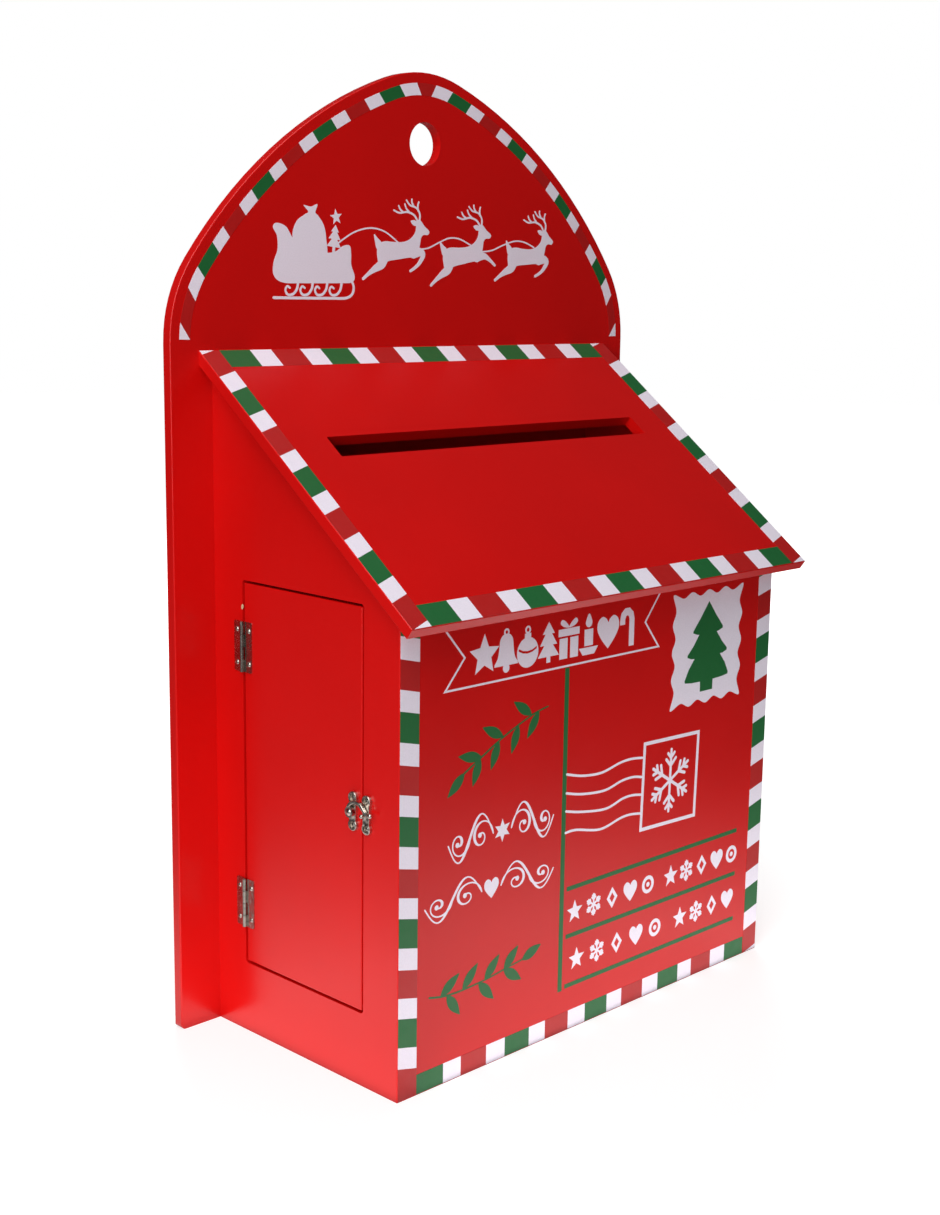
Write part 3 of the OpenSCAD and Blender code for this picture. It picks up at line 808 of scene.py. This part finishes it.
# Postmark: a frame a little askew, four waves and a snowflake
POSTMARK_MIDDLE = (297.1, 176.9)
POSTMARK_HALF = (35.9, 36.4)   # half of its width and height
POSTMARK_LINE = 2.9            # thickness of the frame
POSTMARK_TURN = -1.7           # in degrees
WAVE_LINE = 1.9
# A snowflake's barbs: where they leave the arm and how long they are, as shares of it
BARBS = ((0.48, 0.36), (0.74, 0.24))
BARB_X, BARB_Y = 0.62, 0.66    # share of a barb's length along and across the arm


def postmark_frame():
    w, h = POSTMARK_HALF
    return [rectangle(-w, -h, w, h),
            rectangle(POSTMARK_LINE - w, POSTMARK_LINE - h, w - POSTMARK_LINE,
                      h - POSTMARK_LINE)]


def snowflake(x, y, radius, width, turn=0.0):
    """Strokes of a snowflake: six arms with two pairs of barbs each."""
    strokes = []
    for arm in range(6):
        parts = [[(width * 0.3, 0), (radius, 0)]]
        for at, reach in BARBS:
            for side in (-1, 1):
                parts.append([(radius * at, 0), (radius * (at + reach * BARB_X),
                                                 side * radius * reach * BARB_Y)])
        strokes += [(moved(part, x, y, turn=turn + 60 * arm), width) for part in parts]
    return strokes


film("postmark_frame", FRONT, "white",
     placed([postmark_frame()], *POSTMARK_MIDDLE, turn=POSTMARK_TURN))
film("postmark_snowflake", FRONT, "white",
     strokes=snowflake(*POSTMARK_MIDDLE, radius=25.5, width=2.6,
                       turn=90 + POSTMARK_TURN))

WAVES = [
    [(171.5, 206), (190, 201.4), (212, 199.6), (233, 203.2), (247, 203.9), (261, 202.3)],
    [(171.5, 191.3), (190, 187), (216, 184.7), (236, 188.3), (250, 188.7), (261, 186.6)],
    [(171.5, 177.2), (190, 173), (218, 169.6), (238, 173.6), (250, 173.9), (261, 172.2)],
    [(171.5, 160.2), (184, 160), (212, 154.4), (236, 158.2), (248, 158.6), (261, 156.8)],
]
film("postmark_waves", FRONT, "white",
     strokes=[(smooth(wave, closed=False), WAVE_LINE) for wave in WAVES])


# Rows of small motifs between the address rules
def small_diamond():
    return [[[(0, 8.6), (6.4, 0), (0, -8.6), (-6.4, 0)],
             [(0, 4.2), (3.1, 0), (0, -4.2), (-3.1, 0)][::-1]]]


def small_ring():
    return [[circle(0, 0, 7.4), circle(0, 0, 4.4)], [circle(0, 0, 2.0, 16)]]


def small_star():
    return [[star(5, 9.2, 4.0)]]


def small_heart():
    return placed(ornament_heart(), 0, 0.4, 0.66)


ROW_MOTIFS = [small_star, None, small_diamond, small_heart, small_ring]


def motif_row(name, middle, groups):
    """A row of motifs in groups, each given as (first x, step, count). Where the list
    of motifs has none, there is a snowflake."""
    shapes, strokes, number = [], [], 0
    for first, step, count in groups:
        for i in range(count):
            motif = ROW_MOTIFS[number % len(ROW_MOTIFS)]
            x = first + i * step
            if motif:
                shapes += placed(motif(), x, middle)
            else:
                strokes += snowflake(x, middle, radius=8.4, width=1.6, turn=90)
            number += 1
    film(name, FRONT, "white", shapes, strokes)


motif_row("address_row_upper", 95.0, [(184.5, 22.2, 5), (302.5, 20.6, 5)])
motif_row("address_row_lower", 55.9, [(188.0, 24.0, 5), (316.5, 21.6, 4)])


# Scrollwork drawn with a pointed pen
THIN_PEN, THICK_PEN = 1.1, 2.5
PEN_SWELL = 1.4       # the higher, the steeper a line has to fall to be drawn thick
SCROLL_SHRINK = 0.86  # size of each bend, as a share of the one before it
STEM_STEPS, CURL_STEPS = 16, 40
CURL_TURNS = 1.4      # turns of a curl from its start on the stem to its eye
CURL_EYE = 0.16       # radius that is left at the eye, as a share of the first one
CURL_CLOSING = 1.6    # the higher, the sooner the curl closes
CURL_HEIGHT = 0.84    # height of a curl, as a share of its bend's
BERRY = 1.9           # radius of the dot in a curl's eye


def pen(line):
    """The line with a width that swells where the pen comes down."""
    last = len(line) - 1

    def width(share):
        i = round(share * last)
        ahead, behind = line[min(i + 2, last)], line[max(i - 2, 0)]
        dx, dy = ahead[0] - behind[0], ahead[1] - behind[1]
        down = max(0.0, -dy / (math.hypot(dx, dy) or 1.0))
        return THIN_PEN + (THICK_PEN - THIN_PEN) * down ** PEN_SWELL

    return line, width


def scroll(side, x, middle, gap, pitch, rise, bends):
    """Strokes and berries of a waving stem that runs out to one side of x, with a curl
    in each bend. The first bend has the given pitch and rise."""
    stem, strokes, berries = [], [], []
    reach = gap
    for bend in range(bends):
        up = 1 if bend % 2 == 0 else -1
        for i in range(STEM_STEPS + 1):
            share = i / STEM_STEPS
            stem.append((x + side * (reach + pitch * share),
                         middle + up * rise * math.sin(math.pi * share)))
        curl = []
        for i in range(CURL_STEPS + 1):
            share = i / CURL_STEPS
            radius = CURL_EYE + (1 - CURL_EYE) * (1 - share) ** CURL_CLOSING
            turn = math.pi - 2 * math.pi * CURL_TURNS * share
            out = reach + pitch / 2 * (1 + radius * math.cos(turn))
            height = up * rise * CURL_HEIGHT * radius * math.sin(turn)
            curl.append((x + side * out, middle + height))
        strokes.append(pen(curl))
        berries.append([circle(*curl[-1], BERRY, 20)])
        reach += pitch
        if bend < bends - 1:
            stem.pop()
        pitch, rise = pitch * SCROLL_SHRINK, rise * SCROLL_SHRINK
    strokes.append(pen(stem))
    return strokes, berries


def scrollwork(name, x, middle, gap, pitch, rise, bends, motif):
    """A motif between two mirrored scrolls."""
    strokes, shapes = [], placed(motif, x, middle)
    for side in (-1, 1):
        lines, berries = scroll(side, x, middle, gap, pitch, rise, bends)
        strokes += lines
        shapes += berries
    film(name, FRONT, "white", shapes, strokes)


scrollwork("scroll_upper", 102.5, 177.5, gap=9.5, pitch=24.5, rise=17.0, bends=2,
           motif=[[star(6, 8.6, 4.2)]])
scrollwork("scroll_lower", 92.0, 136.0, gap=10.0, pitch=30.5, rise=14.5, bends=2,
           motif=placed(ornament_heart(), 0, 0.6, 0.6))


# A dab of bare filler beside the upper hinge, where the lacquer is missing
DAB = [(-169.0, 330), (-168.9, 331.8), (-169.8, 332.8), (-171, 332), (-171.3, 330),
       (-170.4, 328.8)]
film("filler_dab", SIDE, "filler", [[smooth(DAB)]])


# ---------------------------------------------------------------- sleigh and deer

SLEIGH_BODY = [(-152.5, 609.3), (-143.5, 607), (-137.4, 599.4), (-131, 592.4),
               (-118, 589.4), (-103, 588.6), (-94, 590), (-86.6, 594.2), (-80, 594.4),
               (-78.6, 588.4), (-78.4, 580), (-75, 571.6), (-77.6, 566.6), (-92, 565.8),
               (-124, 565.4), (-146, 565.6), (-155, 570.6), (-155.4, 580),
               (-151.4, 590), (-152, 600), (-155.6, 606)]
SACK = [(-131, 584), (-137, 600), (-133, 611), (-125, 616.4), (-121.6, 618.6),
        (-126, 623.2), (-119, 622.4), (-112.6, 624.4), (-114.6, 618.4), (-112, 616),
        (-106.6, 609.6), (-104, 600), (-105, 584)]
# Right half of the little tree beside the sack
GIFT_TREE = [(0, 10.5), (5, 3.6), (2.6, 3.6), (7.6, -3.4), (3.4, -3.4), (9.2, -11),
             (1.6, -11), (1.6, -16)]
RUNNER = [(-155.4, 554.4), (-130, 554.3), (-100, 554.3), (-84, 554.5), (-77.4, 557.6),
          (-75.8, 562.8), (-78, 567.2), (-82, 568.6)]
RUNNER_LINE = 2.1
# A hooked strut between the hull and the runner, and where the struts stand
STRUT = [(8.8, 566.6), (7.6, 561.2), (3.8, 557.2), (-1.2, 556.8), (-3.6, 560),
         (-1.8, 563), (0.8, 561.8)]
STRUT_PLACES = (-140.5, -126.0, -111.5, -97.0)


def sleigh():
    tree = moved(mirrored(GIFT_TREE), -95.2, 601.6, size=0.78, turn=-6)
    tree_star = moved(star(5, 6.2, 2.6), -93.8, 615.6, turn=8)
    shapes = [[smooth(SLEIGH_BODY)], [smooth(SACK)], [tree], [tree_star]]
    strokes = [(smooth(RUNNER, closed=False), RUNNER_LINE)]
    for place in STRUT_PLACES:
        line = smooth([(place + x, y) for x, y in STRUT], closed=False)
        strokes.append((line, taper(2.2, 1.6)))
    film("sleigh", ARCH, "white", shapes, strokes)


# Parts of a deer that runs to the right, drawn round its own middle
DEER_BODY = [(-21.6, 5.6), (-15, 7.4), (-5, 7), (5, 7.6), (12, 10.4), (16.6, 15),
             (17.8, 20), (18.8, 24), (21.2, 25.4), (23.8, 23.6), (27, 20.4),
             (30.8, 17.8), (32.4, 15.8), (30.6, 13.6), (26, 13.4), (23.4, 11.2),
             (22.2, 6), (20.4, 0), (17, -4.4), (10, -4.8), (0, -6.2), (-12, -8),
             (-17, -11), (-22, -11), (-24, -5), (-24.2, 1)]
DEER_EAR = [(19.4, 23), (15.6, 24.8), (11.8, 23.8), (14.6, 20.8), (18.4, 20.4)]
DEER_TAIL = [(-20, 6), (-23.6, 9.4), (-27.4, 12.4), (-26.6, 7), (-24.2, 1)]
# Lines of the antlers: the near and the far beam, and the tines on each
DEER_ANTLERS = [
    [(19.4, 24), (15.4, 28.6), (8, 30.8), (-0.4, 29.8), (-6.6, 31.6)],
    [(10.4, 30.4), (7, 33.4), (5.2, 36.8)], [(3.4, 30.4), (0.2, 32.6), (-1.4, 35.2)],
    [(21.4, 24.4), (21.6, 30), (17.6, 34.4), (11, 36.2), (7, 39.8)],
    [(19.8, 32.4), (19.4, 36), (20.4, 39)], [(14.8, 35.6), (13, 38.4), (12.8, 40.8)],
]
ANTLER_WIDTHS = (1.9, 1.4)
# Each leg is a line from the body and its widths at both ends
HIND_LEG = ([(-17.6, -3), (-19.4, -10), (-27.4, -14.6), (-33.4, -18.2), (-38.8, -22)],
            13.0, 2.4)
FORE_LEGS = [
    ([(15, -1), (22.6, -0.2), (25.6, -2.6), (21.6, -8.8), (16.8, -12.6), (11.8, -15.2)],
     9.0, 2.3),
    ([(15, -1), (24, -0.8), (30.6, -4.4), (36, -8.6)], 9.0, 2.3),
]


def deer(name, x, y, size, turn, fore):
    """A deer at (x, y). fore says which of the fore legs it has."""
    shapes = [[smooth(DEER_BODY)], [smooth(DEER_EAR)], [smooth(DEER_TAIL)]]
    parts = [(line, *ANTLER_WIDTHS) for line in DEER_ANTLERS]
    parts += [HIND_LEG, FORE_LEGS[fore]]
    strokes = []
    for line, root, end in parts:
        line = moved(smooth(line, closed=False), x, y, size, turn)
        strokes.append((line, taper(root, end, power=2)))
    film(name, ARCH, "white", placed(shapes, x, y, size, turn), strokes)


REIN_LINE = 1.2
REINS = [
    [(-96.6, 592.8), (-88, 598.4), (-74, 605.4), (-58, 608.6), (-43, 606.2),
     (-29, 598.4)],
    [(-7.4, 593.6), (4, 594.8), (16, 599.4), (28, 603.4), (40, 603), (53.4, 598.2)],
    [(65, 593.4), (78, 594.8), (92, 599.6), (106, 603.2), (118, 602.6), (130, 598.6)],
]

sleigh()
deer("deer_first", -27.1, 591.6, size=1.0, turn=0, fore=0)
deer("deer_second", 45.4, 589.4, size=1.0, turn=3, fore=1)
deer("deer_third", 121.6, 590.0, size=0.98, turn=-3, fore=0)
film("reins", ARCH, "white",
     strokes=[(smooth(rein, closed=False), REIN_LINE) for rein in REINS])


# ---------------------------------------------------------------- floor, light, camera

FLOOR_RADIUS = 8.0
FLOOR_SIDES = 96
PAPER_MIDDLE = (-0.06, -0.04, 0.0)
PAPER_NEAR = 0.3         # the white paper is as bright as it gets this far out
PAPER_FAR = 0.88         # and from here on only the dark studio is mirrored
PAPER_FADE = 2.1         # the higher, the sooner the paper fades between the two
PAPER_GREY = srgb(196, 196, 196)
STUDIO_GREY = srgb(96, 96, 96)
GLOW_NEAR, GLOW_FAR = 0.60, 1.0   # the paper's own light at both ends of its range,
GLOW_RANGE = (0.3, 1.7)           # so that it keeps the shadow near the object
STUDIO_LEVEL = 0.05      # light of the dark studio round the paper
TABLE_LAMP_Z = 0.001     # height of the lamps that lie on the floor
CAMERA_TURN = math.radians(45.3275)     # the view's heading, from +Y towards +X
CAMERA_DIP = math.radians(10.4564)
CAMERA_ROLL = math.radians(0.8087)
CAMERA_PLACE = Vector((-0.98124, -0.91862, 0.56253))
LONG_SIDE = 1215.0
FOCAL_PIXELS = 1723.64
SENSOR = 36.0


def floor_material():
    """White paper that keeps the shadow. The lacquer mirrors it only near the object,
    where it lies in the light, and the dark studio beyond that."""
    made = Shader("white_paper")
    made.set(Roughness=0.9, Emission_Color=(1, 1, 1, 1))
    out = made.nodes.new("ShaderNodeVectorMath")
    out.operation = "DISTANCE"
    made.links.new(made.place, out.inputs[0])
    out.inputs[1].default_value = PAPER_MIDDLE
    far = out.outputs["Value"]
    near = made.math("POWER", made.span(far, 1.0, 0.0, PAPER_NEAR, PAPER_FAR),
                     PAPER_FADE)
    ray = made.nodes.new("ShaderNodeLightPath").outputs
    mirrored_ray = made.math("MAXIMUM", ray["Is Glossy Ray"], ray["Is Transmission Ray"])
    shown = made.math("MAXIMUM", ray["Is Camera Ray"],
                      made.math("MULTIPLY", mirrored_ray, near))
    glow = made.span(far, GLOW_NEAR, GLOW_FAR, *GLOW_RANGE)
    made.link(made.math("MULTIPLY", glow, shown), "Emission Strength")
    lit = made.math("MAXIMUM", ray["Is Camera Ray"], near)
    made.link(made.ramp(lit, STUDIO_GREY, PAPER_GREY, 0, 1), "Base Color")
    return made.material


def make_floor():
    rim = [(x, y, 0.0) for x, y in circle(0, 0, FLOOR_RADIUS, FLOOR_SIDES)]
    mesh = bpy.data.meshes.new("floor")
    mesh.from_pydata(rim, [], [tuple(range(FLOOR_SIDES))])
    mesh.materials.append(floor_material())
    floor = bpy.data.objects.new("floor", mesh)
    bpy.context.scene.collection.objects.link(floor)


def softbox(name, place, target, size, watts, mirrored_too=True):
    """Area lamp at a place, facing a target. The camera doesn't see it, and the lacquer
    mirrors it only if mirrored_too is set."""
    lamp = bpy.data.lights.new(name, "AREA")
    lamp.shape = "RECTANGLE"
    lamp.size, lamp.size_y = size
    lamp.energy = watts
    holder = bpy.data.objects.new(name, lamp)
    bpy.context.scene.collection.objects.link(holder)
    holder.location = place
    aim = Vector(target) - Vector(place)
    holder.rotation_euler = aim.to_track_quat("-Z", "Y").to_euler()
    holder.visible_camera = False
    holder.visible_glossy = mirrored_too


def table_lamp(name, x, y, size, watts):
    """Lamp that lies on the floor and shines up, as the light that the paper returns."""
    softbox(name, (x, y, TABLE_LAMP_Z), (x, y, 1), size, watts, mirrored_too=False)


def make_world():
    """A dim studio. The camera sees it as plain white behind the floor."""
    world = bpy.data.worlds.new("studio")
    world.use_nodes = True
    nodes, links = world.node_tree.nodes, world.node_tree.links
    ray = nodes.new("ShaderNodeLightPath").outputs
    level = nodes.new("ShaderNodeMath")
    level.operation = "MAXIMUM"
    links.new(ray["Is Camera Ray"], level.inputs[0])
    links.new(ray["Is Transmission Ray"], level.inputs[1])
    strength = nodes.new("ShaderNodeMath")
    strength.operation = "MAXIMUM"
    links.new(level.outputs[0], strength.inputs[0])
    strength.inputs[1].default_value = STUDIO_LEVEL
    links.new(strength.outputs[0], nodes["Background"].inputs["Strength"])
    nodes["Background"].inputs["Color"].default_value = (1, 1, 1, 1)
    bpy.context.scene.world = world


def make_lights():
    softbox("key_left", (-2.0, -0.9, 1.15), (0, 0, 0.35), (1.8, 1.9), 27.8)
    softbox("fill_low", (-1.8, -1.2, 0.45), (0, 0, 0.2), (1.2, 0.8), 8.6,
            mirrored_too=False)
    softbox("top", (-0.2, -0.3, 2.3), (0, 0, 0.3), (1.2, 1.2), 10.2)
    softbox("top_left", (-1.3, -0.9, 2.2), (0, 0, 0.2), (1.3, 1.3), 21.5)
    table_lamp("table_left", -0.367, -0.05, (0.3, 0.3), 0.38)
    table_lamp("table_front", 0.11, -0.247, (0.6, 0.3), 0.74)
    softbox("back_fill", (1.5, 1.8, 1.4), (0, 0, 0.35), (1.6, 1.6), 44,
            mirrored_too=False)


def make_camera():
    s, c = math.sin(CAMERA_TURN), math.cos(CAMERA_TURN)
    dip = math.cos(CAMERA_DIP)
    ahead = Vector((s * dip, c * dip, -math.sin(CAMERA_DIP)))
    right = Vector((c, -s, 0))
    above = right.cross(ahead)
    roll_c, roll_s = math.cos(CAMERA_ROLL), math.sin(CAMERA_ROLL)
    across = roll_c * right + roll_s * above
    up = -roll_s * right + roll_c * above
    data = bpy.data.cameras.new("camera")
    data.sensor_width = SENSOR
    data.lens = FOCAL_PIXELS * SENSOR / LONG_SIDE
    data.clip_end = 50.0     # well beyond the floor's rim
    camera = bpy.data.objects.new("camera", data)
    turn = Matrix((across, up, -ahead)).transposed().to_4x4()
    camera.matrix_world = Matrix.Translation(CAMERA_PLACE) @ turn
    bpy.context.scene.collection.objects.link(camera)
    bpy.context.scene.camera = camera


make_floor()
make_world()
make_lights()
make_camera()
bpy.context.scene.view_settings.view_transform = "Standard"
